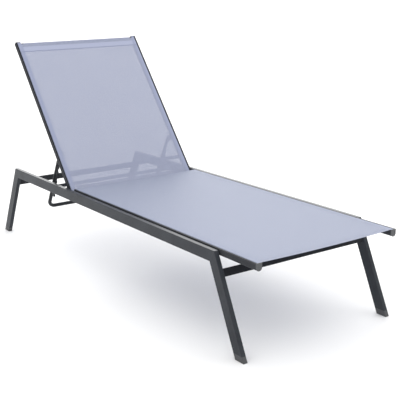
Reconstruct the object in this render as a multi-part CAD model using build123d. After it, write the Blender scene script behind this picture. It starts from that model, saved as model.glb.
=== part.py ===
from build123d import *
from math import cos, degrees, hypot, radians, sin
import math
import os

# Overall sizes, in millimetres and degrees
overall_length = 1890
frame_width = 652
rail_top_height = 330
seat_overhang = 184
front_leg_spread = 151
rear_leg_spread = 174
back_angle = 51.7
upright_angle = 71.7

# Side frame tubes, crossbars and feet
frame_tube_depth = 40
frame_tube_width = 17
frame_tube_wall = 1.2
frame_tube_round = 1.5
crossbar_width = 27
crossbar_depth = 12
crossbar_inset = 6
crossbar_wall = 1.5
crossbar_round = 2
crossbar_height = 259
foot_height = 20
foot_plug_length = 22

# Sling rails, their caps and the fabric they hold
sling_rail_width = 22
sling_rail_height = 25
sling_rail_wall = 1.6
sling_rail_rise = 2.6
side_gap = 6
sling_rail_gap = 35.5
channel_radius = 2.4
channel_depth = 3.8
channel_inset = 8
slot_width = 2.8
slot_inset = 7.2
groove_drop = 10
groove_height = 2
groove_depth = 0.8
fabric_thickness = 1
cord_radius = 1.2
wrap_radius = 2.3
cap_thickness = 3
cap_lip = 0.4
cap_round = 1
cap_plug_length = 15
chamber_depth = 9

# Backrest
hinge_inset = 484
hinge_depth = 12
back_length = 727
back_tail = 13
cross_tube_radius = 8
cross_tube_wall = 1.4
lower_tube_reach = 73
lower_tube_gap = 1.5
hem_length = 50
hem_seam = 6
hem_gap = 0.2

# Crossbar that the flat backrest rests on and the support slides along
rest_bar_radius = 8
rest_bar_wall = 1.5
rest_bar_reach = 169
rest_gap = 0.3

# Swinging support
support_tube_radius = 8
support_tube_wall = 1.4
support_length = 308.5
support_bend_radius = 30
support_offset = 14.2
support_lean = 6.2
support_top = 2
ratchet_thickness = 6
ratchet_gap = 0.7
ratchet_start = 70
ratchet_foot = 15
notch_radius = 8.5
notch_depth = 6
notch_count = 6
notches_below_rest = 2
ratchet_corner = 5
eye_radius = 11
ear_radius = 6

# Pivots and fasteners
bush_radius = 5.5
hinge_pin_radius = 4
pin_clearance = 0.05
boss_radius = 11
boss_nose_radius = 7
boss_nose_length = 2
boss_shank_radius = 6
hinge_head_radius = 8
screw_head_radius = 6
screw_head_height = 4
screw_head_round = 1
screw_radius = 3
spacer_radius = 7
spacer_reach_shares = (0.06, 0.46, 0.9)
support_pin_radius = 4.5
support_head_radius = 6.2
washer_radius = 6.5
washer_length = 5.7
hex_key_sides = 6
hex_key_radius = 2.5
hex_key_depth = 2
fit_gap = 0.3
slip_gap = 0.1
thread_reach = 5

# Positions that follow from the sizes above
rear_corner = overall_length / 2 - rear_leg_spread
seat_front = -overall_length / 2
front_corner = seat_front + seat_overhang
frame_inner = frame_width / 2 - frame_tube_width
sling_outer = frame_inner - side_gap
sling_inner = sling_outer - sling_rail_width
sling_centre = sling_outer - sling_rail_width / 2
sling_rail_top = rail_top_height + sling_rail_rise
hinge_along = rear_corner - hinge_inset
seat_rear = hinge_along - back_tail - 2 * cap_thickness - sling_rail_gap
seat_rail_length = seat_rear - cap_thickness - seat_front
hinge_height = sling_rail_top - hinge_depth
back_rear = back_length - cap_thickness
back_rail_length = back_rear + back_tail
top_tube_reach = back_rear - fabric_thickness - hem_gap - cross_tube_radius
rest_bar_height = sling_rail_top - sling_rail_height - rest_gap - rest_bar_radius
rest_bar_drop = hinge_height - rest_bar_height
pivot_reach = hypot(rest_bar_reach, rest_bar_drop)
rest_bar_angle = -degrees(math.atan2(rest_bar_drop, rest_bar_reach))
support_angle = (back_angle + rest_bar_angle) / 2
ratchet_outer = sling_inner - washer_length - fit_gap
ratchet_inner = ratchet_outer - ratchet_thickness
support_centre = ratchet_outer - ratchet_thickness / 2
tooth_line = rest_bar_radius + ratchet_gap
tail_plug_length = back_tail - bush_radius - fit_gap
right_angle = 90


def bar_distance(angle):
    """Distance from the support's pivot to the rest bar at one backrest angle."""
    return 2 * pivot_reach * sin(radians((angle - rest_bar_angle) / 2))


def mix(first, second, share):
    """Point at a share of the way from the first point to the second."""
    return (first[0] + (second[0] - first[0]) * share, first[1] + (second[1] - first[1]) * share)


def side_prism(points, width):
    """Block of one width, centred on the middle plane, with a side outline."""
    outline = Plane.YZ * make_face(Polyline(*points, close=True))
    return extrude(outline, amount=width / 2, both=True)


def rod(radius, start, end, along, height):
    """Round bar across the width from one side position to another."""
    section = Plane.YZ.offset(start) * Pos(along, height) * Circle(radius)
    return extrude(section, amount=end - start)


def pipe(radius, bore, start, end, along, height):
    """Round tube across the width."""
    return rod(radius, start, end, along, height) - rod(bore, start, end, along, height)


def frame_tube_end(corner, splay):
    """Outer and inner corner of a mitre between a rail and a leg that splays out."""
    lean = math.atan2(splay, rail_top_height)
    inset = frame_tube_depth * (1 - sin(lean)) / cos(lean)
    direction = 1 if corner < 0 else -1
    return (corner, rail_top_height), (corner + direction * inset, rail_top_height - frame_tube_depth)


def leg_end(corner, splay, height):
    """Outer and inner point where a horizontal cut crosses a leg."""
    lean = math.atan2(splay, rail_top_height)
    direction = 1 if corner < 0 else -1
    outer = corner - direction * splay * (rail_top_height - height) / rail_top_height
    return (outer, height), (outer + direction * frame_tube_depth / cos(lean), height)


def cut_bar(section_width, section_depth, section_round, start, end):
    """Solid bar that follows two outer points, cut off at both end lines."""
    run = hypot(end[0][0] - start[0][0], end[0][1] - start[0][1])
    direction = (0, (end[0][0] - start[0][0]) / run, (end[0][1] - start[0][1]) / run)
    middle = mix(start[0], start[1], 1 / 2)
    plane = Plane(origin=(0, middle[0], middle[1]), x_dir=(1, 0, 0), z_dir=direction)
    section = plane * RectangleRounded(section_width, section_depth, section_round)
    bar = extrude(section, amount=2 * run, both=True)
    corners = [mix(*start, -1), mix(*start, 2), mix(*end, 2), mix(*end, -1)]
    return bar & side_prism(corners, frame_width)


def frame_tube(start, end):
    """Hollow rectangular tube of the side frame between two end lines."""
    outer = cut_bar(frame_tube_width, frame_tube_depth, frame_tube_round, start, end)
    inner_width = frame_tube_width - 2 * frame_tube_wall
    inner_depth = frame_tube_depth - 2 * frame_tube_wall
    inner = cut_bar(inner_width, inner_depth, frame_tube_round - frame_tube_wall, start, end)
    return Pos(frame_inner + frame_tube_width / 2) * (outer - inner)


def side_rail():
    """Long top tube of the side frame, bored inside for the hinge boss and screws."""
    start = frame_tube_end(front_corner, front_leg_spread)
    end = frame_tube_end(rear_corner, rear_leg_spread)
    rail = frame_tube(start, end)
    inside = frame_inner + frame_tube_wall + fit_gap
    rail -= rod(boss_shank_radius, frame_inner, inside, hinge_along, hinge_height)
    for along in spacer_positions():
        rail -= rod(screw_radius + pin_clearance, frame_inner, inside, along, hinge_height)
    return rail


def leg(corner, splay):
    """Splayed leg, mitred to the rail above and cut level above its foot."""
    return frame_tube(frame_tube_end(corner, splay), leg_end(corner, splay, foot_height))


def foot(corner, splay):
    """Plastic foot with a plug that goes up inside the leg."""
    start = leg_end(corner, splay, foot_height)
    end = leg_end(corner, splay, 0)
    plug_start = leg_end(corner, splay, foot_height + foot_plug_length)
    block = cut_bar(frame_tube_width, frame_tube_depth, frame_tube_round, start, end)
    play = 2 * (frame_tube_wall + slip_gap)
    plug_round = frame_tube_round - frame_tube_wall
    plug = cut_bar(frame_tube_width - play, frame_tube_depth - play, plug_round, plug_start, end)
    return Pos(frame_inner + frame_tube_width / 2) * (block + plug)


def crossbar(corner, splay):
    """Flat tube between two legs, turned to their slope and near their outer edge."""
    start = leg_end(corner, splay, crossbar_height)
    lean = degrees(math.atan2(splay, rail_top_height))
    direction = 1 if corner < 0 else -1
    centre = mix(*start, (crossbar_inset + crossbar_depth / 2) / frame_tube_depth)
    bore = (crossbar_depth - 2 * crossbar_wall, crossbar_width - 2 * crossbar_wall)
    section = RectangleRounded(crossbar_depth, crossbar_width, crossbar_round)
    section -= RectangleRounded(*bore, crossbar_round - crossbar_wall)
    turned = Plane.YZ * Pos(*centre) * Rot(0, 0, -direction * lean) * section
    return extrude(turned, amount=frame_inner, both=True)


def rest_bar():
    """Round tube between the side rails behind the hinge."""
    along = hinge_along + rest_bar_reach
    bore = rest_bar_radius - rest_bar_wall
    return pipe(rest_bar_radius, bore, -frame_inner, frame_inner, along, rest_bar_height)


def d_section(width, height):
    """Flat-topped section with a half-round underside, its top edge at zero."""
    straight = height - width / 2
    section = Pos(0, -straight / 2) * Rectangle(width, straight) + Pos(0, -straight) * Circle(width / 2)
    return section & Pos(0, -height / 2) * Rectangle(width, height)


def sling_rail_section():
    """Section of a sling rail: a cord channel open to the top, and a groove down its outer face."""
    chamber_width = sling_rail_width - 2 * sling_rail_wall
    chamber_height = sling_rail_height - sling_rail_wall - chamber_depth
    channel_at = sling_rail_width / 2 - channel_inset
    section = d_section(sling_rail_width, sling_rail_height)
    section -= Pos(0, -chamber_depth) * d_section(chamber_width, chamber_height)
    section -= Pos(channel_at, -channel_depth) * Circle(channel_radius)
    slot_at = sling_rail_width / 2 - slot_inset
    section -= Pos(slot_at, -channel_depth / 2) * Rectangle(slot_width, channel_depth)
    section -= Pos(sling_rail_width / 2, -groove_drop) * Rectangle(2 * groove_depth, groove_height)
    return section


def sling_rail(rear_end, length):
    """Right-hand sling rail that runs forward from its rear end."""
    section = Plane.XZ * Pos(sling_centre, 0) * sling_rail_section()
    return Pos(0, rear_end, 0) * extrude(section, amount=length)


def sling_sheet(rear_end, length):
    """Flat cloth over both rails, tucked down each slot and round its cord."""
    channel_at = sling_outer - channel_inset
    half = channel_at + fabric_thickness / 2
    tuck_depth = channel_depth - wrap_radius + fabric_thickness / 2
    section = Pos(0, fabric_thickness / 2) * Rectangle(2 * half, fabric_thickness)
    for side in (-1, 1):
        tuck = Pos(side * channel_at, -tuck_depth / 2) * Rectangle(fabric_thickness, tuck_depth)
        channel = Pos(side * channel_at, -channel_depth)
        section += tuck + channel * Circle(wrap_radius)
        section -= channel * Circle(wrap_radius - fabric_thickness)
    return Pos(0, rear_end, 0) * extrude(Plane.XZ * section, amount=length)


def sling_cord(rear_end, length):
    """Plastic cord that locks the cloth in the right-hand channel."""
    section = Plane.XZ * Pos(sling_outer - channel_inset, -channel_depth) * Circle(cord_radius)
    return Pos(0, rear_end, 0) * extrude(section, amount=length)


def sling_cap(end, outward, plug_length):
    """Plastic end cap of a sling rail with a plug inside the rail's chamber."""
    plug_width = sling_rail_width - 2 * (sling_rail_wall + slip_gap)
    plug_height = sling_rail_height - sling_rail_wall - chamber_depth - 2 * slip_gap
    face_width = sling_rail_width + 2 * cap_lip
    face_height = sling_rail_height + 2 * cap_lip
    face = Plane.XZ * Pos(sling_centre, cap_lip) * d_section(face_width, face_height)
    plug = Plane.XZ * Pos(sling_centre, -chamber_depth - slip_gap) * d_section(plug_width, plug_height)
    flange = extrude(face, amount=-outward * cap_thickness)
    flange = fillet(flange.faces().sort_by(Axis.Y)[-1 if outward > 0 else 0].edges(), cap_round)
    return Pos(0, end, 0) * (flange + extrude(plug, amount=outward * plug_length))


def on_seat(shape):
    """Move a piece built on the rails' top plane to the seat's height."""
    return Pos(0, 0, sling_rail_top) * shape


def on_back(shape):
    """Turn a piece built flat from the hinge to the backrest's angle."""
    return Pos(0, hinge_along, hinge_height) * Rot(back_angle, 0, 0) * shape


def on_support(shape):
    """Turn a piece built hanging from the pivot to the support's angle."""
    pivot_along = hinge_along + pivot_reach * cos(radians(back_angle))
    pivot_height = hinge_height + pivot_reach * sin(radians(back_angle))
    return Pos(0, pivot_along, pivot_height) * Rot(support_angle, 0, 0) * shape


def on_arm(shape):
    """Turn a piece built along the support's arm, which leans back from the notches."""
    return on_support(Rot(support_lean, 0, 0) * shape)


def spacer_positions():
    """Places along the seat rail where it is screwed to the side rail."""
    span = seat_rear - front_corner
    return [front_corner + span * share for share in spacer_reach_shares]


def seat_rail():
    """Right-hand seat rail with its screw holes."""
    rail = on_seat(sling_rail(seat_rear, seat_rail_length))
    for along in spacer_positions():
        rail -= rod(screw_radius + pin_clearance, sling_inner, sling_outer, along, hinge_height)
    return rail


def round_head(radius, start, along, height):
    """Domed head that faces inward, with a socket for a hex key."""
    head = rod(radius, start - screw_head_height, start, along, height)
    head = fillet(head.faces().sort_by(Axis.X)[0].edges(), screw_head_round)
    socket_plane = Plane.YZ.offset(start - screw_head_height)
    socket = socket_plane * Pos(along, height) * RegularPolygon(hex_key_radius, hex_key_sides)
    return head - extrude(socket, amount=hex_key_depth)


def seat_screw(along):
    """Screw through the seat rail and its spacer into the side rail."""
    end = frame_inner + frame_tube_wall + thread_reach
    head = round_head(screw_head_radius, sling_inner, along, hinge_height)
    return head + rod(screw_radius, sling_inner, end, along, hinge_height)


def seat_spacer(along):
    """Sleeve between the seat rail and the side rail."""
    bore = screw_radius + pin_clearance
    return pipe(spacer_radius, bore, sling_outer, frame_inner, along, hinge_height)


def hinge_boss():
    """Boss fixed in the side rail that takes the hinge pin."""
    start = sling_outer + fit_gap
    end = frame_inner + frame_tube_wall + thread_reach
    shoulder = start + boss_nose_length
    boss = rod(boss_nose_radius, start, shoulder, hinge_along, hinge_height)
    boss += rod(boss_radius, shoulder, frame_inner, hinge_along, hinge_height)
    boss += rod(boss_shank_radius, frame_inner, end, hinge_along, hinge_height)
    return boss - rod(hinge_pin_radius + pin_clearance, start, end, hinge_along, hinge_height)


def hinge_pin():
    """Headed pin through the backrest rail into the boss."""
    start = sling_inner - fit_gap
    end = frame_inner + frame_tube_wall + thread_reach
    head = round_head(hinge_head_radius, start, hinge_along, hinge_height)
    return head + rod(hinge_pin_radius, start, end, hinge_along, hinge_height)


def back_rail():
    """Right-hand backrest rail, bored for the hinge bush and the support's pin."""
    rail = Pos(0, 0, hinge_depth) * sling_rail(back_rear, back_rail_length)
    rail -= rod(bush_radius, sling_inner, sling_outer, 0, 0)
    rail -= rod(screw_radius + pin_clearance, sling_inner, sling_outer, pivot_reach, 0)
    return rail


def hinge_bush():
    """Plastic sleeve in the backrest rail that turns on the hinge pin."""
    return pipe(bush_radius, hinge_pin_radius + pin_clearance, sling_inner, sling_outer, 0, 0)


def cross_tube(reach, drop):
    """Tube between the backrest rails at a distance from the hinge."""
    bore = cross_tube_radius - cross_tube_wall
    height = hinge_depth - drop
    return pipe(cross_tube_radius, bore, -sling_inner, sling_inner, reach, height)


def hem():
    """Pocket of cloth that wraps the top tube and returns to the sheet."""
    drop = cross_tube_radius + hem_gap
    seam = Pos(back_rear - hem_length, fabric_thickness / 2) * Circle(fabric_thickness / 2)
    tip = Pos(back_rear - hem_length + hem_seam, -fabric_thickness / 4) * Circle(fabric_thickness / 4)
    tube = Pos(top_tube_reach, -drop)
    outer = make_hull((tube * Circle(drop + fabric_thickness)).edges() + seam.edges())
    inner = make_hull((tube * Circle(drop)).edges() + tip.edges())
    return extrude(Plane.YZ * (outer - inner), amount=sling_inner - fit_gap, both=True)


def back_sling():
    """Backrest cloth with its top hem."""
    sheet = sling_sheet(back_rear, back_rail_length)
    trim_width = 2 * (sling_inner - fit_gap)
    trim = Pos(0, top_tube_reach + hem_length / 2, 0) * Box(trim_width, hem_length, 4 * fabric_thickness)
    return Pos(0, 0, hinge_depth) * (sheet - trim + hem())


def support_pin():
    """Headed pin that holds the support's eye beside the backrest rail."""
    start = ratchet_inner - fit_gap
    head = round_head(support_head_radius, start, pivot_reach, 0)
    shoulder = rod(support_pin_radius, start, sling_inner, pivot_reach, 0)
    return head + shoulder + rod(screw_radius, sling_inner, sling_outer - fit_gap, pivot_reach, 0)


def support_washer():
    """Spacer on the pin between the support and the backrest rail."""
    bore = support_pin_radius + pin_clearance
    return pipe(washer_radius, bore, ratchet_outer + fit_gap, sling_inner, pivot_reach, 0)


def support_arm():
    """Right-hand tube of the support with the bend at its foot."""
    bend_start = -(support_length - support_bend_radius)
    path = Line((support_centre, support_offset, support_top), (support_centre, support_offset, bend_start))
    centre = (support_centre - support_bend_radius, support_offset, bend_start)
    bend_plane = Plane(origin=centre, x_dir=(1, 0, 0), z_dir=(0, 1, 0))
    arc = bend_plane * CenterArc((0, 0), support_bend_radius, 0, right_angle)
    end_plane = Plane(origin=path @ 0, z_dir=path % 0)
    outer = sweep(end_plane * Circle(support_tube_radius), path=path + arc)
    return outer - sweep(end_plane * Circle(support_tube_radius - support_tube_wall), path=path + arc)


def support_bar():
    """Straight tube between the feet of the two arms."""
    half = support_centre - support_bend_radius
    bore = support_tube_radius - support_tube_wall
    return pipe(support_tube_radius, bore, -half, half, support_offset, -support_length)


def arm_space():
    """Space taken up by the straight of the right-hand arm."""
    start = Plane.XY.offset(-support_length) * Pos(support_centre, support_offset)
    return extrude(start * Circle(support_tube_radius), amount=2 * support_length)


def support_eye():
    """Eye plate welded to the top of the arm, which hangs on the pivot pin."""
    ear = Pos(support_offset - support_tube_radius, support_top - ear_radius) * Circle(ear_radius)
    outline = make_hull(Circle(eye_radius).edges() + ear.edges())
    outline -= Circle(support_pin_radius + pin_clearance)
    plate = extrude(Plane.YZ.offset(ratchet_inner) * outline, amount=ratchet_thickness)
    return plate - arm_space()


def ratchet_outline():
    """Side outline of the ratchet plate, from the bar's path back to the arm's middle line."""
    last = bar_distance(upright_angle)
    front, rear = [], []
    for drop in (ratchet_start, last + ratchet_foot):
        front.append((tooth_line, -drop))
        arm_at = support_offset / cos(radians(support_lean)) + drop * math.tan(radians(support_lean))
        rear.append((arm_at, -drop))
    outline = make_face(Polyline(*front, *reversed(rear), close=True))
    corner = outline.vertices().sort_by(Axis.Y)[:2].sort_by(Axis.X)[0]
    outline = fillet(corner, ratchet_corner)
    pitch = (last - bar_distance(back_angle)) / notches_below_rest
    for index in range(notch_count):
        outline -= Pos(tooth_line + notch_depth - notch_radius, index * pitch - last) * Circle(notch_radius)
    return outline


def ratchet_plate():
    """Notched plate welded along the front of the arm."""
    plate = extrude(Plane.YZ.offset(ratchet_inner) * ratchet_outline(), amount=ratchet_thickness)
    return plate - Rot(support_lean, 0, 0) * arm_space()


os.makedirs("parts", exist_ok=True)

back_top = Pos(0, 0, hinge_depth)

right_parts = {
    "side_rail": side_rail(),
    "front_leg": leg(front_corner, front_leg_spread),
    "rear_leg": leg(rear_corner, rear_leg_spread),
    "front_foot": foot(front_corner, front_leg_spread),
    "rear_foot": foot(rear_corner, rear_leg_spread),
    "seat_rail": seat_rail(),
    "seat_cap_front": on_seat(sling_cap(seat_front + cap_thickness, -1, cap_plug_length)),
    "seat_cap_rear": on_seat(sling_cap(seat_rear, 1, cap_plug_length)),
    "seat_cord": on_seat(sling_cord(seat_rear, seat_rail_length)),
    "hinge_boss": hinge_boss(),
    "hinge_pin": hinge_pin(),
    "back_rail": on_back(back_rail()),
    "back_cap_top": on_back(back_top * sling_cap(back_rear, 1, cap_plug_length)),
    "back_cap_bottom": on_back(back_top * sling_cap(-back_tail, -1, tail_plug_length)),
    "back_cord": on_back(back_top * sling_cord(back_rear, back_rail_length)),
    "hinge_bush": on_back(hinge_bush()),
    "support_pin": on_back(support_pin()),
    "support_washer": on_back(support_washer()),
    "support_arm": on_arm(support_arm()),
    "support_eye": on_arm(support_eye()),
    "ratchet_plate": on_support(ratchet_plate()),
}

centre_parts = {
    "front_crossbar": crossbar(front_corner, front_leg_spread),
    "rear_crossbar": crossbar(rear_corner, rear_leg_spread),
    "rest_bar": rest_bar(),
    "seat_sling": on_seat(sling_sheet(seat_rear, seat_rail_length)),
    "back_top_tube": on_back(cross_tube(top_tube_reach, cross_tube_radius + hem_gap)),
    "back_lower_tube": on_back(cross_tube(lower_tube_reach, cross_tube_radius + lower_tube_gap)),
    "back_sling": on_back(back_sling()),
    "support_bar": on_arm(support_bar()),
}

for name, part in right_parts.items():
    export_step(part, f"parts/{name}_right.step")
    export_step(mirror(part, about=Plane.YZ), f"parts/{name}_left.step")

for name, part in centre_parts.items():
    export_step(part, f"parts/{name}.step")

for name, maker in (("seat_screws", seat_screw), ("seat_spacers", seat_spacer)):
    pieces = [maker(along) for along in spacer_positions()]
    pieces += [mirror(piece, about=Plane.YZ) for piece in pieces]
    export_step(Compound(children=pieces), f"parts/{name}.step")
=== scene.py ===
from math import atan2, cos, pi, radians, sin

import bpy
from mathutils import Matrix, Vector


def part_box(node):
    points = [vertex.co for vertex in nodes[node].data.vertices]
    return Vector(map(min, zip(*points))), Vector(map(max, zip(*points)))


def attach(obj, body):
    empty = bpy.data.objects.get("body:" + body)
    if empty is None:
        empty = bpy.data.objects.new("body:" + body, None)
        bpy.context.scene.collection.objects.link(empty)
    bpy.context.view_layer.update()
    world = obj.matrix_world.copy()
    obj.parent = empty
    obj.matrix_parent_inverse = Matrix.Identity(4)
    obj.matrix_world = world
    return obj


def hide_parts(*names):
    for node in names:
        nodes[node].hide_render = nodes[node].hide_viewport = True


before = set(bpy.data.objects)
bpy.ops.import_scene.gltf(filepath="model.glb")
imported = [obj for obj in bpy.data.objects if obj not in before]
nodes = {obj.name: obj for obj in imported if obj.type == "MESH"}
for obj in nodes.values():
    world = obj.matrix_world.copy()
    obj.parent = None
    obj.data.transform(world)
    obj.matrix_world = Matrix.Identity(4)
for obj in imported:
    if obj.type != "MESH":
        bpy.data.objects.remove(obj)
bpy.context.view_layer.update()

sides = ("left", "right")

# Side frames: rectangular aluminium tubes, mitred and welded at the corners, with flat crossbars
# between the legs and a round bar behind the hinge. All have one charcoal powder coat, and the
# crossbars' copy of it is painted darker, as painted shade from the seat above them.


def add_node(tree, kind, links=(), **settings):
    """A shader node; each link gives one of its sockets a value or another node's output."""
    made = tree.nodes.new("ShaderNode" + kind)
    for name, value in settings.items():
        setattr(made, name, value)
    for socket, source in dict(links).items():
        if isinstance(source, (int, float, tuple)):
            made.inputs[socket].default_value = source
        else:
            tree.links.new(source, made.inputs[socket])
    return made


def new_material(name, roughness, specular):
    material = bpy.data.materials.new(name)
    material.use_nodes = True
    shader = material.node_tree.nodes["Principled BSDF"]
    shader.inputs["Roughness"].default_value = roughness
    shader.inputs["Specular IOR Level"].default_value = specular
    return material, material.node_tree, shader


def noise(tree, place, scale, detail):
    made = add_node(tree, "TexNoise", {"Vector": place, "Scale": scale, "Detail": detail})
    return made.outputs["Fac"]


def remap(tree, value, low, high, to_low=0.0, to_high=1.0, **settings):
    """The value stretched so that low to high becomes to_low to to_high, and held within them."""
    sockets = {0: value, 1: low, 2: high, 3: to_low, 4: to_high}
    return add_node(tree, "MapRange", sockets, **settings).outputs[0]


def add_bump(tree, shader, height, strength, distance):
    sockets = {"Height": height, "Strength": strength, "Distance": distance}
    tree.links.new(add_node(tree, "Bump", sockets).outputs[0], shader.inputs["Normal"])


def blend_colours(tree, share, first, second):
    mixed = add_node(tree, "Mix", data_type="RGBA")
    for socket, value in (("Factor_Float", share), ("A_Color", first), ("B_Color", second)):
        target = next(s for s in mixed.inputs if s.identifier == socket)
        if isinstance(value, tuple):
            target.default_value = value
        else:
            tree.links.new(value, target)
    return next(s for s in mixed.outputs if s.identifier == "Result_Color")


def wear_and_highlight_edges(tree, width, patchy):
    """How pale the sharp edges are, in patches: partly wear, partly a painted highlight."""
    rounded = add_node(tree, "Bevel", {"Radius": width}, samples=6)
    flat = add_node(tree, "NewGeometry")
    facing = add_node(tree, "VectorMath", {0: rounded.outputs[0], 1: flat.outputs["Normal"]},
                      operation="DOT_PRODUCT")
    # Sharp edges are lightened here: partly wear, partly a painted highlight.
    edges = remap(tree, facing.outputs["Value"], 0.995, 0.9, 0.0, 0.6)
    return add_node(tree, "Math", {0: edges, 1: patchy}, operation="MULTIPLY").outputs[0]


def charcoal_coat(name, low, high, edge_wear_and_highlight, edge_width, specular=0.14):
    """Powder coat: close greys in soft clouds, fine speckle, edges paler by wear and a painted
    highlight.
    """
    material, tree, shader = new_material(name, 0.34, specular)
    place = add_node(tree, "TexCoord").outputs["Object"]
    speckle = noise(tree, place, 900.0, 2.0)
    spread = remap(tree, noise(tree, place, 14.0, 4.0), 0.35, 0.65)
    coat = blend_colours(tree, spread, low, high)
    finish = blend_colours(tree, wear_and_highlight_edges(tree, edge_width, speckle), coat, edge_wear_and_highlight)
    tree.links.new(finish, shader.inputs["Base Color"])
    tree.links.new(remap(tree, speckle, 0.3, 0.7, 0.27, 0.39), shader.inputs["Roughness"])
    add_bump(tree, shader, speckle, 0.35, 0.0002)
    return material


def paint(node_names, material):
    for name in node_names:
        for material_slot in nodes[name].material_slots:
            material_slot.material = material


def both(*names):
    return [f"{name}_{side}" for name in names for side in sides]


frame_coat = charcoal_coat(
    "frame_powder_coat",
    low=(0.026, 0.029, 0.035, 1),
    high=(0.035, 0.039, 0.046, 1),
    edge_wear_and_highlight=(0.10, 0.105, 0.11, 1),
    edge_width=0.0012,
)
paint(both("side_rail", "front_leg", "rear_leg"), frame_coat)
paint(["rest_bar"], frame_coat)
# The crossbars' coat is painted darker than the frame's: painted shade for the seat's shadow over them.
crossbar_shaded_coat = charcoal_coat(
    "crossbar_coat_painted_shade",
    low=(0.013, 0.014, 0.017, 1),
    high=(0.019, 0.021, 0.025, 1),
    edge_wear_and_highlight=(0.07, 0.075, 0.08, 1),
    edge_width=0.0012,
    specular=0.1,
)
paint(["front_crossbar", "rear_crossbar"], crossbar_shaded_coat)

rail_height = 0.330
front_leg_spread, rear_leg_spread = 0.151, 0.174
crossbar_half_depth, crossbar_half_width = 0.006, 0.0135
crossbar_squareness = 7
round_tube_radius = 0.008
roundness = 2
bead_radius = 0.0019
bead_ripple = 0.00022
bead_ripples = 26
bead_steps, bead_sides = 104, 8
bead_sunk = bead_radius / 3


def deselect():
    bpy.ops.object.select_all(action="DESELECT")


def weld_bead(centre, half_depth, half_height, squareness, lean):
    """One run of weld round a tube's end: a ring, rippled, and squared where the tube is."""
    deselect()
    bpy.ops.mesh.primitive_torus_add(
        major_radius=1, minor_radius=bead_radius, major_segments=bead_steps, minor_segments=bead_sides
    )
    bead = bpy.context.object
    for point in bead.data.vertices:
        side, up, out = point.co
        reach = (side * side + up * up) ** 0.5
        turn = atan2(up, side)
        size = (abs(cos(turn)) ** squareness + abs(sin(turn)) ** squareness) ** (-1 / squareness)
        ripple = 1 + bead_ripple / bead_radius * sin(turn * bead_ripples)
        proud = (reach - 1) * ripple
        depth = (half_depth * size + proud) * cos(turn)
        height = (half_height * size + proud) * sin(turn)
        point.co = (out * ripple, depth, height)
    bead.data.transform(Matrix.Translation(centre) @ Matrix.Rotation(lean, 4, "X"))
    return bead


def beads_at(name, half_depth, half_height, squareness, lean):
    """A bead at each end of a tube that runs across, where it meets the sides."""
    low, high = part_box(name)
    centre = (low + high) / 2
    ends = [Vector((side * (high.x - bead_sunk), centre.y, centre.z)) for side in (-1, 1)]
    return [weld_bead(end, half_depth, half_height, squareness, lean) for end in ends]


def crossbar_beads(name, lean):
    return beads_at(name, crossbar_half_depth, crossbar_half_width, crossbar_squareness, lean)


def round_tube_beads(name):
    return beads_at(name, round_tube_radius, round_tube_radius, roundness, 0)


def join(name, shapes, material):
    """The shapes as one smooth piece with one material."""
    deselect()
    for shape in shapes:
        shape.select_set(True)
    bpy.context.view_layer.objects.active = shapes[0]
    bpy.ops.object.join()
    joined = bpy.context.object
    joined.name = name
    bpy.ops.object.mode_set(mode="EDIT")
    bpy.ops.mesh.select_all(action="SELECT")
    bpy.ops.mesh.normals_make_consistent(inside=False)
    bpy.ops.object.mode_set(mode="OBJECT")
    bpy.ops.object.shade_smooth()
    joined.data.materials.clear()
    joined.data.materials.append(material)
    return joined


frame_beads = crossbar_beads("front_crossbar", -atan2(front_leg_spread, rail_height))
frame_beads += crossbar_beads("rear_crossbar", atan2(rear_leg_spread, rail_height))
frame_beads += round_tube_beads("rest_bar")
frame_welds = join("frame_welds", frame_beads, frame_coat)
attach(frame_welds, "frame")

# Feet: black plastic ends pushed up inside the legs, moulded with a fine matt grain. Their edges
# are paler, partly scuffed from being dragged over paving and partly a painted highlight.


def moulded_plastic(name, low, high, edge_wear_and_highlight, roughness):
    """Moulded plastic: a faint cloudiness, a fine matt grain, and edges paler by scuffs and a painted
    highlight.
    """
    material, tree, shader = new_material(name, roughness, 0.4)
    place = add_node(tree, "TexCoord").outputs["Object"]
    cloudy = noise(tree, place, 60.0, 3.0)
    body = blend_colours(tree, cloudy, low, high)
    finish = blend_colours(tree, wear_and_highlight_edges(tree, 0.0009, cloudy), body, edge_wear_and_highlight)
    tree.links.new(finish, shader.inputs["Base Color"])
    add_bump(tree, shader, noise(tree, place, 1600.0, 2.0), 0.3, 0.0001)
    return material


foot_plastic = moulded_plastic(
    "foot_plastic",
    low=(0.052, 0.054, 0.058, 1),
    high=(0.070, 0.072, 0.076, 1),
    edge_wear_and_highlight=(0.2, 0.2, 0.2, 1),
    roughness=0.55,
)
merge_distance = 0.00002
flat_angle = radians(2)
foot_ease = 0.0009
foot_corner_angle = radians(50)
foot_smooth_angle = radians(40)


def whole_copy(name, piece_name, material):
    """The node's own shape with its loose triangles merged into whole faces."""
    piece = bpy.data.objects.new(piece_name, nodes[name].data.copy())
    bpy.context.scene.collection.objects.link(piece)
    deselect()
    piece.select_set(True)
    bpy.context.view_layer.objects.active = piece
    bpy.ops.object.mode_set(mode="EDIT")
    bpy.ops.mesh.select_all(action="SELECT")
    bpy.ops.mesh.customdata_custom_splitnormals_clear()
    bpy.ops.mesh.remove_doubles(threshold=merge_distance)
    bpy.ops.mesh.dissolve_limited(angle_limit=flat_angle)
    bpy.ops.mesh.select_mode(type="FACE")
    bpy.ops.mesh.select_all(action="DESELECT")
    bpy.ops.object.mode_set(mode="OBJECT")
    piece.data.materials.clear()
    piece.data.materials.append(material)
    return piece


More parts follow.
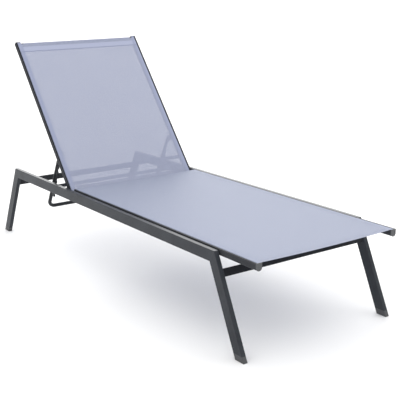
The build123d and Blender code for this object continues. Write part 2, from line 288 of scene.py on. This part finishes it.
def foot(name):
    """Eased all round, which also leaves a fine line where it meets the leg."""
    piece = whole_copy(name, f"{name}_end", foot_plastic)
    edge = piece.modifiers.new("edge", "BEVEL")
    edge.width = foot_ease
    edge.segments = 3
    edge.limit_method = "ANGLE"
    edge.angle_limit = foot_corner_angle
    bpy.ops.object.modifier_apply(modifier="edge")
    bpy.ops.object.shade_smooth_by_angle(angle=foot_smooth_angle)
    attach(piece, "frame")
    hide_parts(name)


for foot_name in both("front_foot", "rear_foot"):
    foot(foot_name)

# Seat rails: extruded aluminium with a half-round underside and a cord slot in the top, in a
# duller coat than the frame's, painted lighter as painted light, and held off the side rails by
# sleeves and blackened screws.

# The seat rails' coat is painted lighter than the frame's: painted light making up for its dull finish.
seat_rail_lit_coat = charcoal_coat(
    "rail_powder_coat",
    low=(0.043, 0.045, 0.050, 1),
    high=(0.053, 0.055, 0.061, 1),
    edge_wear_and_highlight=(0.065, 0.068, 0.074, 1),
    edge_width=0.0008,
    specular=0.012,
)
paint(both("seat_rail"), seat_rail_lit_coat)
paint(["seat_spacers"], frame_coat)


def dark_metal(name, colour, bright, roughness):
    """Blackened steel with fine turning marks across it."""
    material, tree, shader = new_material(name, roughness, 0.5)
    shader.inputs["Metallic"].default_value = 0.9
    place = add_node(tree, "TexCoord").outputs["Object"]
    turned = add_node(tree, "Mapping", {0: place, "Scale": (2600.0, 300.0, 300.0)}).outputs[0]
    streaks = noise(tree, turned, 1.0, 3.0)
    tree.links.new(blend_colours(tree, streaks, colour, bright), shader.inputs["Base Color"])
    gloss = remap(tree, streaks, 0.0, 1.0, roughness - 0.06, roughness + 0.1)
    tree.links.new(gloss, shader.inputs["Roughness"])
    return material


screw_steel = dark_metal(
    "blackened_steel", colour=(0.08, 0.082, 0.086, 1), bright=(0.15, 0.152, 0.158, 1), roughness=0.34
)
paint(["seat_screws"], screw_steel)

# End caps of the seat rails: thin plastic caps, flush with the rail, with a plug inside it. They
# are moulded in a grey a little lighter than the coat, with the outer face sunk inside a rim.

cap_plastic = moulded_plastic(
    "cap_plastic",
    low=(0.070, 0.073, 0.078, 1),
    high=(0.088, 0.091, 0.096, 1),
    edge_wear_and_highlight=(0.2, 0.2, 0.21, 1),
    roughness=0.5,
)
cap_face_share = 0.78
cap_floor_share = 0.94
cap_sink = 0.0012
cap_inset = 0.00001
cap_smooth_angle = radians(30)


def end_cap(name, body, outward):
    """The cap with its largest outward face made smaller and sunk, as it comes from the mould."""
    piece = whole_copy(name, f"{name}_moulding", cap_plastic)
    outer_face = max(piece.data.polygons, key=lambda face: face.area * face.normal.dot(outward))
    outer_face.select = True
    bpy.ops.object.mode_set(mode="EDIT")
    for share, sink in ((cap_face_share, 0), (cap_floor_share, cap_sink)):
        bpy.ops.mesh.inset(thickness=cap_inset, depth=0)
        bpy.ops.transform.resize(value=(share, share, share))
        bpy.ops.transform.translate(value=-outward * sink)
    bpy.ops.object.mode_set(mode="OBJECT")
    bpy.ops.object.shade_smooth_by_angle(angle=cap_smooth_angle)
    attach(piece, body)
    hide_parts(name)


for side in sides:
    end_cap(f"seat_cap_front_{side}", "frame", Vector((0, -1, 0)))
    end_cap(f"seat_cap_rear_{side}", "frame", Vector((0, 1, 0)))

# Seat cloth: one panel of vinyl-coated mesh, hemmed all round. Each side hem goes down the slot in
# its rail and round a plastic cord there, which locks it. It is pulled tight across the rails.

cord_plastic = moulded_plastic(
    "cord_plastic",
    low=(0.25, 0.26, 0.29, 1),
    high=(0.32, 0.33, 0.36, 1),
    edge_wear_and_highlight=(0.4, 0.4, 0.42, 1),
    roughness=0.45,
)
paint(both("seat_cord"), cord_plastic)

cloth_lift = 0.00075
hem_lift = 0.00025
rail_inside = 0.281
rail_step = 0.003
cord_at = 0.295
cord_drop = 0.0038
cord_loop = 0.0018
loop_from, loop_to = 80, -260
slot_half = 0.0003
hem_edge = 0.2765
turn_radius = 0.0012
turn_step = 0.002
span_columns, rail_columns, turn_columns, loop_columns, hem_columns = 25, 5, 5, 18, 8


def spaced(start, end, count):
    return [start + (end - start) * i / (count - 1) for i in range(count)]


def arc(centre, radius, start, end, count):
    return [(centre[0] + radius * cos(radians(a)), centre[1] + radius * sin(radians(a)))
            for a in spaced(start, end, count)]


def dip(x, sag):
    """How far the cloth sags below the rails' tops at one place across."""
    return sag * max(0.0, 1 - (x / rail_inside) ** 2)


def cloth_section(sag):
    """Half of the cloth across the rails, as (side, height) over the rail's top, with its hem."""
    down, up = cord_at + slot_half, cord_at - slot_half
    before_slot = down - turn_radius - turn_step
    after_slot = up - turn_radius - turn_step
    down_bend = (down - turn_radius, cloth_lift - turn_radius)
    up_bend = (up - turn_radius, hem_lift - turn_radius)
    points = [(x, cloth_lift - dip(x, sag)) for x in spaced(0, rail_inside, span_columns)]
    points += [(x, cloth_lift) for x in spaced(rail_inside + rail_step, before_slot, rail_columns)]
    points += arc(down_bend, turn_radius, 90, 0, turn_columns)
    points += arc((cord_at, -cord_drop), cord_loop, loop_from, loop_to, loop_columns)
    points += arc(up_bend, turn_radius, 0, 90, turn_columns)
    points += [(x, hem_lift - dip(x, sag)) for x in spaced(after_slot, hem_edge, hem_columns)]
    return points


def run_lengths(points):
    """How far along the line each of its points lies."""
    lengths = [0.0]
    for first, second in zip(points, points[1:]):
        lengths.append(lengths[-1] + (Vector(second) - Vector(first)).length)
    return lengths


def cloth_across(sag):
    """The whole cloth across, from the left hem's edge to the right one, with its weave place."""
    half = cloth_section(sag)
    right = [(x, z, u) for (x, z), u in zip(half, run_lengths(half))]
    return [(-x, z, -u) for x, z, u in reversed(right[1:])] + right


def between_rails(across, clear):
    """The part of the upper layer that hangs free between the rails."""
    return [p for p in across if abs(p[0]) <= rail_inside - clear and abs(p[2]) < rail_inside]


def cloth_object(name, strips, material):
    """One mesh from strips of rows; each row is a list of ((x, y, z), (u, v)) points."""
    places, faces, weave = [], [], []
    for rows in strips:
        base, width = len(places), len(rows[0])
        for row in rows:
            places += [place for place, _ in row]
            weave += [uv for _, uv in row]
        for i in range(len(rows) - 1):
            for j in range(width - 1):
                corner = base + i * width + j
                faces.append((corner, corner + 1, corner + width + 1, corner + width))
    mesh = bpy.data.meshes.new(name)
    mesh.from_pydata(places, [], faces)
    layer = mesh.uv_layers.new(name="weave")
    for loop in mesh.loops:
        layer.data[loop.index].uv = weave[loop.vertex_index]
    mesh.polygons.foreach_set("use_smooth", [True] * len(mesh.polygons))
    mesh.materials.append(material)
    piece = bpy.data.objects.new(name, mesh)
    bpy.context.scene.collection.objects.link(piece)
    return piece


def times(colour, factor):
    """The colour made lighter or darker, and never over white."""
    return tuple(min(1.0, part * factor) for part in colour[:3]) + (1,)


yarn_pitch = 0.0019
gap_painted_shade = 0.45
hem_cover, pocket_cover = 0.85, 0.9
pocket_lightness = 1.14
seam_darkness = 0.88
seam_offset, seam_half = 0.001, 0.0028


def woven_mesh(name, hole_reach, threads, hem_threads, pocket):
    """Vinyl-coated yarns, over and under, with a small hole between every four crossings. The
    hems and the pocket, given by its start and end along the cloth, are doubled and have none."""
    material, tree, shader = new_material(name, 0.6, 0.3)
    uv = add_node(tree, "UVMap", uv_map="weave").outputs[0]
    apart = add_node(tree, "SeparateXYZ", {0: uv})
    across, along = apart.outputs[0], apart.outputs[1]

    def math(operation, first, second=0.0):
        return add_node(tree, "Math", {0: first, 1: second}, operation=operation).outputs[0]

    warp_wave = math("SINE", math("MULTIPLY", across, pi / yarn_pitch))
    weft_wave = math("SINE", math("MULTIPLY", along, pi / yarn_pitch))
    warp, weft = math("ABSOLUTE", warp_wave), math("ABSOLUTE", weft_wave)
    over = math("MULTIPLY", math("MULTIPLY", warp_wave, weft_wave), 0.5)
    height = math("MAXIMUM", math("ADD", warp, over), math("SUBTRACT", weft, over))
    in_warp_gap = math("LESS_THAN", warp, hole_reach)
    in_weft_gap = math("LESS_THAN", weft, hole_reach)
    hole = math("MULTIPLY", in_warp_gap, in_weft_gap)

    cloudy = noise(tree, uv, 9.0, 3.0)
    stretched = add_node(tree, "Mapping", {0: uv, "Scale": (700.0, 12.0, 1.0)}).outputs[0]
    yarns = noise(tree, stretched, 1.0, 2.0)
    tone = math("ADD", math("MULTIPLY", cloudy, 0.5), math("MULTIPLY", yarns, 0.5))
    colour = blend_colours(tree, tone, *threads)
    # Painted shade: the low places between the yarns are painted darker.
    shade = remap(tree, height, 0.2, 0.9, 0.35, 0.0)
    colour = blend_colours(tree, shade, colour, times(threads[0], gap_painted_shade))

    hem = math("GREATER_THAN", math("ABSOLUTE", across), hem_edge)
    from_seam = math("ABSOLUTE", math("SUBTRACT", along, pocket[0] + seam_offset))
    seam = math("LESS_THAN", from_seam, seam_half)
    in_pocket = math("MULTIPLY", math("GREATER_THAN", along, pocket[0]),
                     math("LESS_THAN", along, pocket[1]))
    pocket_share = math("MULTIPLY", in_pocket, pocket_cover)
    colour = blend_colours(tree, pocket_share, colour, times(threads[1], pocket_lightness))
    colour = blend_colours(tree, math("MULTIPLY", hem, hem_cover), colour, hem_threads)
    colour = blend_colours(tree, seam, colour, times(hem_threads, seam_darkness))
    tree.links.new(colour, shader.inputs["Base Color"])

    single = math("MULTIPLY", math("SUBTRACT", 1.0, hem), math("SUBTRACT", 1.0, in_pocket))
    solid = math("SUBTRACT", 1.0, math("MULTIPLY", hole, single))
    tree.links.new(solid, shader.inputs["Alpha"])
    add_bump(tree, shader, height, 0.5, 0.0003)
    return material


no_pocket = (1, 1)
# The seat's threads are painted darker than the backrest's same cloth: painted shade for the stronger
# light from above.
seat_weave_painted_shade = woven_mesh(
    "seat_weave_painted_shade",
    hole_reach=0.1,
    threads=((0.248, 0.275, 0.365, 1), (0.279, 0.305, 0.404, 1)),
    hem_threads=(0.26, 0.287, 0.388, 1),
    pocket=no_pocket,
)
rail_top = 0.3326
seat_front, seat_rear = -0.942, 0.2325
seat_sag = 0.0035
seat_clear = 0.001
seat_mesh_rows = 60
end_hem = 0.02
end_hem_rows = 5
layer_drop = 0.0005


def end_fold():
    """The cloth's end turned under, as (distance in from the end, drop) for each row."""
    turn = [(0.0, 0.0), (-0.0002, -0.0001), (-0.00025, -0.0003), (0.0, -layer_drop)]
    return turn + [(reach, -layer_drop) for reach in spaced(turn_step, end_hem, end_hem_rows)]


def seat_cloth():
    across = cloth_across(seat_sag)
    strips = [[[((x, y, rail_top + z), (u, y)) for x, z, u in across]
               for y in spaced(seat_front, seat_rear, seat_mesh_rows)]]
    between = between_rails(across, seat_clear)
    for end, way in ((seat_front, 1), (seat_rear, -1)):
        rows = [[((x, end + way * out, rail_top + z + drop), (u, end - way * max(out, 0.0)))
                 for x, z, u in between] for out, drop in end_fold()]
        strips.append(rows if way < 0 else list(reversed(rows)))
    return cloth_object("seat_cloth", strips, seat_weave_painted_shade)


def thread(name, low, high):
    """Twisted sewing thread."""
    material, tree, shader = new_material(name, 0.55, 0.3)
    twist = noise(tree, add_node(tree, "TexCoord").outputs["Object"], 1800.0, 1.0)
    tree.links.new(blend_colours(tree, twist, low, high), shader.inputs["Base Color"])
    add_bump(tree, shader, twist, 0.4, 0.0001)
    return material


sewing_thread = thread("sewing_thread", low=(0.2, 0.22, 0.34, 1), high=(0.3, 0.33, 0.47, 1))
stitch_step = 0.005
stitch_long, stitch_thin = 0.0038, 0.0008
stitch_lift = 0.0009
side_seam = 0.279
first_stitch = 0.006
first_cross_stitch = 0.0045
seam_ends = 0.01
cross_seam_end = 0.004
hem_seam = 0.017


def side_seams(start, end, height):
    """Rows of stitches along both side hems, as (first place, size, step, count)."""
    count = int((end - start - seam_ends) / stitch_step)
    size = (stitch_thin, stitch_long, stitch_thin)
    return [((x, start + first_stitch, height), size, (0, stitch_step, 0), count)
            for x in (-side_seam, side_seam)]


def cross_seams(places, height):
    """Rows of stitches from side to side, one at each place along the cloth."""
    count = int(2 * (side_seam - cross_seam_end) / stitch_step)
    size = (stitch_long, stitch_thin, stitch_thin)
    return [((first_cross_stitch - side_seam, place, height), size, (stitch_step, 0, 0), count)
            for place in places]


def stitch_row(start, size, step, count):
    """One stitch, a flat bead of thread, repeated along its seam."""
    deselect()
    bpy.ops.mesh.primitive_uv_sphere_add(segments=6, ring_count=4, radius=0.5, location=start)
    row = bpy.context.object
    row.scale = size
    bpy.ops.object.transform_apply(location=True, rotation=True, scale=True)
    run = row.modifiers.new("run", "ARRAY")
    run.count = count
    run.use_relative_offset = False
    run.use_constant_offset = True
    run.constant_offset_displace = step
    bpy.ops.object.modifier_apply(modifier="run")
    return row


def stitching(name, rows, sag_at):
    """All the seams of one cloth: rows of stitches, let down to the cloth where it dips."""
    seams = join(name, [stitch_row(*row) for row in rows], sewing_thread)
    for point in seams.data.vertices:
        point.co.z -= sag_at(point.co.x, point.co.y)
    return seams


seat = seat_cloth()
seat_rows = side_seams(seat_front, seat_rear, rail_top + stitch_lift)
seat_rows += cross_seams((seat_front + hem_seam, seat_rear - hem_seam), rail_top + stitch_lift)
seat_stitches = stitching("seat_stitches", seat_rows, lambda x, y: dip(x, seat_sag))
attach(seat_stitches, "frame")
half_width = run_lengths(cloth_section(seat_sag))[-1]
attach(seat, "frame")
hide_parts("seat_sling")

# Hinges of the backrest: a headed pin through a plastic bush in the back rail, into a boss that is
# fixed in the side rail.

bearing_plastic = moulded_plastic(
    "bearing_plastic",
    low=(0.026, 0.026, 0.028, 1),
    high=(0.036, 0.036, 0.038, 1),
    edge_wear_and_highlight=(0.1, 0.1, 0.1, 1),
    roughness=0.4,
)
paint(both("hinge_boss"), frame_coat)
paint(both("hinge_bush"), bearing_plastic)
paint(both("hinge_pin"), screw_steel)

# Backrest rails and tubes: the same extrusion as the seat's, joined by a tube inside the top hem
# and one near the hinge, which is welded to the rails.

back_angle = radians(51.7)
up_the_back = Vector((0, cos(back_angle), sin(back_angle)))
# The back rails' coat is painted darker than the seat rails' coat on the same extrusion: painted shade.
back_rail_shaded_coat = charcoal_coat(
    "back_rail_coat_painted_shade",
    low=(0.019, 0.021, 0.026, 1),
    high=(0.027, 0.030, 0.036, 1),
    edge_wear_and_highlight=(0.05, 0.053, 0.057, 1),
    edge_width=0.0008,
    specular=0.06,
)
paint(both("back_rail"), back_rail_shaded_coat)
paint(["back_top_tube", "back_lower_tube"], frame_coat)
for side in sides:
    end_cap(f"back_cap_top_{side}", "backrest", up_the_back)
    end_cap(f"back_cap_bottom_{side}", "backrest", -up_the_back)
back_welds = join("back_welds", round_tube_beads("back_lower_tube"), frame_coat)
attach(back_welds, "backrest")
paint(both("back_cord"), cord_plastic)

# Backrest cloth: the same mesh as the seat, with a pocket sewn across its top that the top tube
# goes through. A seam about 50 mm below the edge closes the pocket.

pocket_seam = 0.674
tube_from = 0.7
back_weave = woven_mesh(
    "back_weave",
    hole_reach=0.42,
    threads=((0.294, 0.32, 0.428, 1), (0.323, 0.348, 0.463, 1)),
    hem_threads=(0.292, 0.32, 0.449, 1),
    pocket=(pocket_seam, tube_from),
)
hinge = (0, 0.287, 0.3206)
back_place = Matrix.Translation(hinge) @ Matrix.Rotation(back_angle, 4, "X")
back_top = 0.012
back_start, back_end = -0.013, 0.724
back_sag = 0.003
back_clear = 0.0007
tube_at = 0.7148
tube_drop = 0.0082
pocket_radius = 0.0087
pocket_turn = 178
back_mesh_rows, rail_end_rows, tube_rows, behind_rows = 40, 3, 13, 8
behind_from_share = 0.1
lower_tube_at = 0.073
lower_tube_share = 0.3
top_slack, lower_slack = 0.16, 0.2
slack_curve = 0.7


def back_tightness(s):
    """How far the cloth may dip: not at all over the top tube, and little over the lower one."""
    by_top = min(1.0, max(0.0, (tube_at - s) / top_slack)) ** slack_curve
    by_lower = min(1.0, lower_tube_share + abs(s - lower_tube_at) / lower_slack)
    return by_top * by_lower


def back_row(s, members, sagging=1.0):
    """One row across the backrest cloth, at a distance s up from the hinge."""
    return [((x, s, back_top + z + dip(x, back_sag) * (1 - sagging)), (u, s)) for x, z, u in members]


def pocket_rows(between):
    """The cloth round the top tube and back down behind, to the seam that closes the pocket."""
    tube_middle = back_top - tube_drop
    rows = []
    for turned in [radians(a) for a in spaced(0, pocket_turn, tube_rows)]:
        s = tube_at + pocket_radius * sin(turned)
        rise = (cloth_lift - pocket_radius + tube_drop) * cos(turned / 2)
        height = tube_middle + pocket_radius * cos(turned) + rise
        rows.append([((x, s, height), (u, tube_at + pocket_radius * turned)) for x, _, u in between])
    last_s, last_height = rows[-1][0][0][1:]
    for share in spaced(behind_from_share, 1.0, behind_rows):
        s = last_s + (pocket_seam - last_s) * share
        height = last_height + (back_top + hem_lift - last_height) * share
        sag = back_tightness(s) * share
        run = tube_at + pi * pocket_radius + last_s - s
        rows.append([((x, s, height - dip(x, back_sag) * sag), (u, run)) for x, _, u in between])
    return rows


def back_cloth():
    across = cloth_across(back_sag)
    between = between_rails(across, back_clear)
    strips = [[back_row(s, across, back_tightness(s))
               for s in spaced(back_start, tube_at, back_mesh_rows)]]
    for on_rail in (lambda p: p[0] >= rail_inside, lambda p: p[0] <= -rail_inside):
        members = [p for p in across if on_rail(p)]
        strips.append([back_row(s, members) for s in spaced(tube_at, back_end, rail_end_rows)])
    strips.append(pocket_rows(between))
    lower_hem = []
    for out, drop in reversed(end_fold()):
        flatter = 1 - back_tightness(back_start + out)
        lower_hem.append([((x, back_start + out, back_top + z + drop + dip(x, back_sag) * flatter),
                           (u, back_start - max(out, 0.0))) for x, z, u in between])
    strips.append(lower_hem)
    piece = cloth_object("back_cloth", strips, back_weave)
    piece.data.transform(back_place)
    return piece


backrest = back_cloth()
back_rows = side_seams(back_start, tube_at, back_top + stitch_lift)
back_rows += cross_seams((pocket_seam + seam_offset, back_start + hem_seam), back_top + stitch_lift)
back_stitches = stitching("back_stitches", back_rows, lambda x, s: dip(x, back_sag) * back_tightness(s))
back_stitches.data.transform(back_place)
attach(back_stitches, "backrest")
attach(backrest, "backrest")
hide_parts("back_sling")

# Support: a bent metal tube with an eye plate at the top of each arm and a notched plate down its
# front, all welded and coated. It hangs on pins in the back rails, held off them by washers.

support_coat = charcoal_coat(
    "support_powder_coat",
    low=(0.026, 0.028, 0.031, 1),
    high=(0.036, 0.038, 0.042, 1),
    edge_wear_and_highlight=(0.10, 0.105, 0.11, 1),
    edge_width=0.0008,
)
paint(both("support_arm", "support_eye", "ratchet_plate"), support_coat)
paint(["support_bar"], support_coat)
paint(both("support_washer"), bearing_plastic)
paint(both("support_pin"), screw_steel)

# Studio: a wide pale floor under soft white light from all round, a little stronger from above,
# with one large window behind the chaise and to its right. The camera stands as in the photograph.

floor_size = 200.0
bpy.ops.mesh.primitive_plane_add(size=floor_size)
floor = bpy.context.object
floor.name = "floor"
floor_material, _, floor_shader = new_material("floor_paper", 0.9, 0.1)
floor_shader.inputs["Base Color"].default_value = (0.95, 0.95, 0.95, 1)
floor.data.materials.append(floor_material)

horizon_light, zenith_light = 1.0, 1.45
window_light = 2.4
window_way = tuple(Vector((0.52, 0.81, 0.3)).normalized())
window_edge, window_core = 0.8, 0.96
world = bpy.data.worlds.new("studio")
bpy.context.scene.world = world
world.use_nodes = True
sky = world.node_tree
towards = add_node(sky, "TexCoord").outputs["Generated"]
upward = add_node(sky, "SeparateXYZ", {0: towards}).outputs[2]
level = remap(sky, upward, 0.0, 1.0, horizon_light, zenith_light)
nearness = add_node(sky, "VectorMath", {0: towards, 1: window_way}, operation="DOT_PRODUCT")
window = remap(sky, nearness.outputs["Value"], window_edge, window_core, 0.0, window_light,
               interpolation_type="SMOOTHSTEP")
total = add_node(sky, "Math", {0: level, 1: window}, operation="ADD")
sky.links.new(total.outputs[0], sky.nodes["Background"].inputs["Strength"])
sky.nodes["Background"].inputs["Color"].default_value = (1, 1, 1, 1)

camera_place = (-1.8383, -2.8339, 1.1659)
camera_turn = (1.3158, 0.0117, -0.6170)
camera_data = bpy.data.cameras.new("camera")
camera_data.sensor_width = 36
camera_data.lens = 77.08
camera_data.clip_end = 500
camera = bpy.data.objects.new("camera", camera_data)
bpy.context.scene.collection.objects.link(camera)
camera.location = camera_place
camera.rotation_euler = camera_turn
bpy.context.scene.camera = camera
bpy.context.scene.view_settings.view_transform = "Standard"
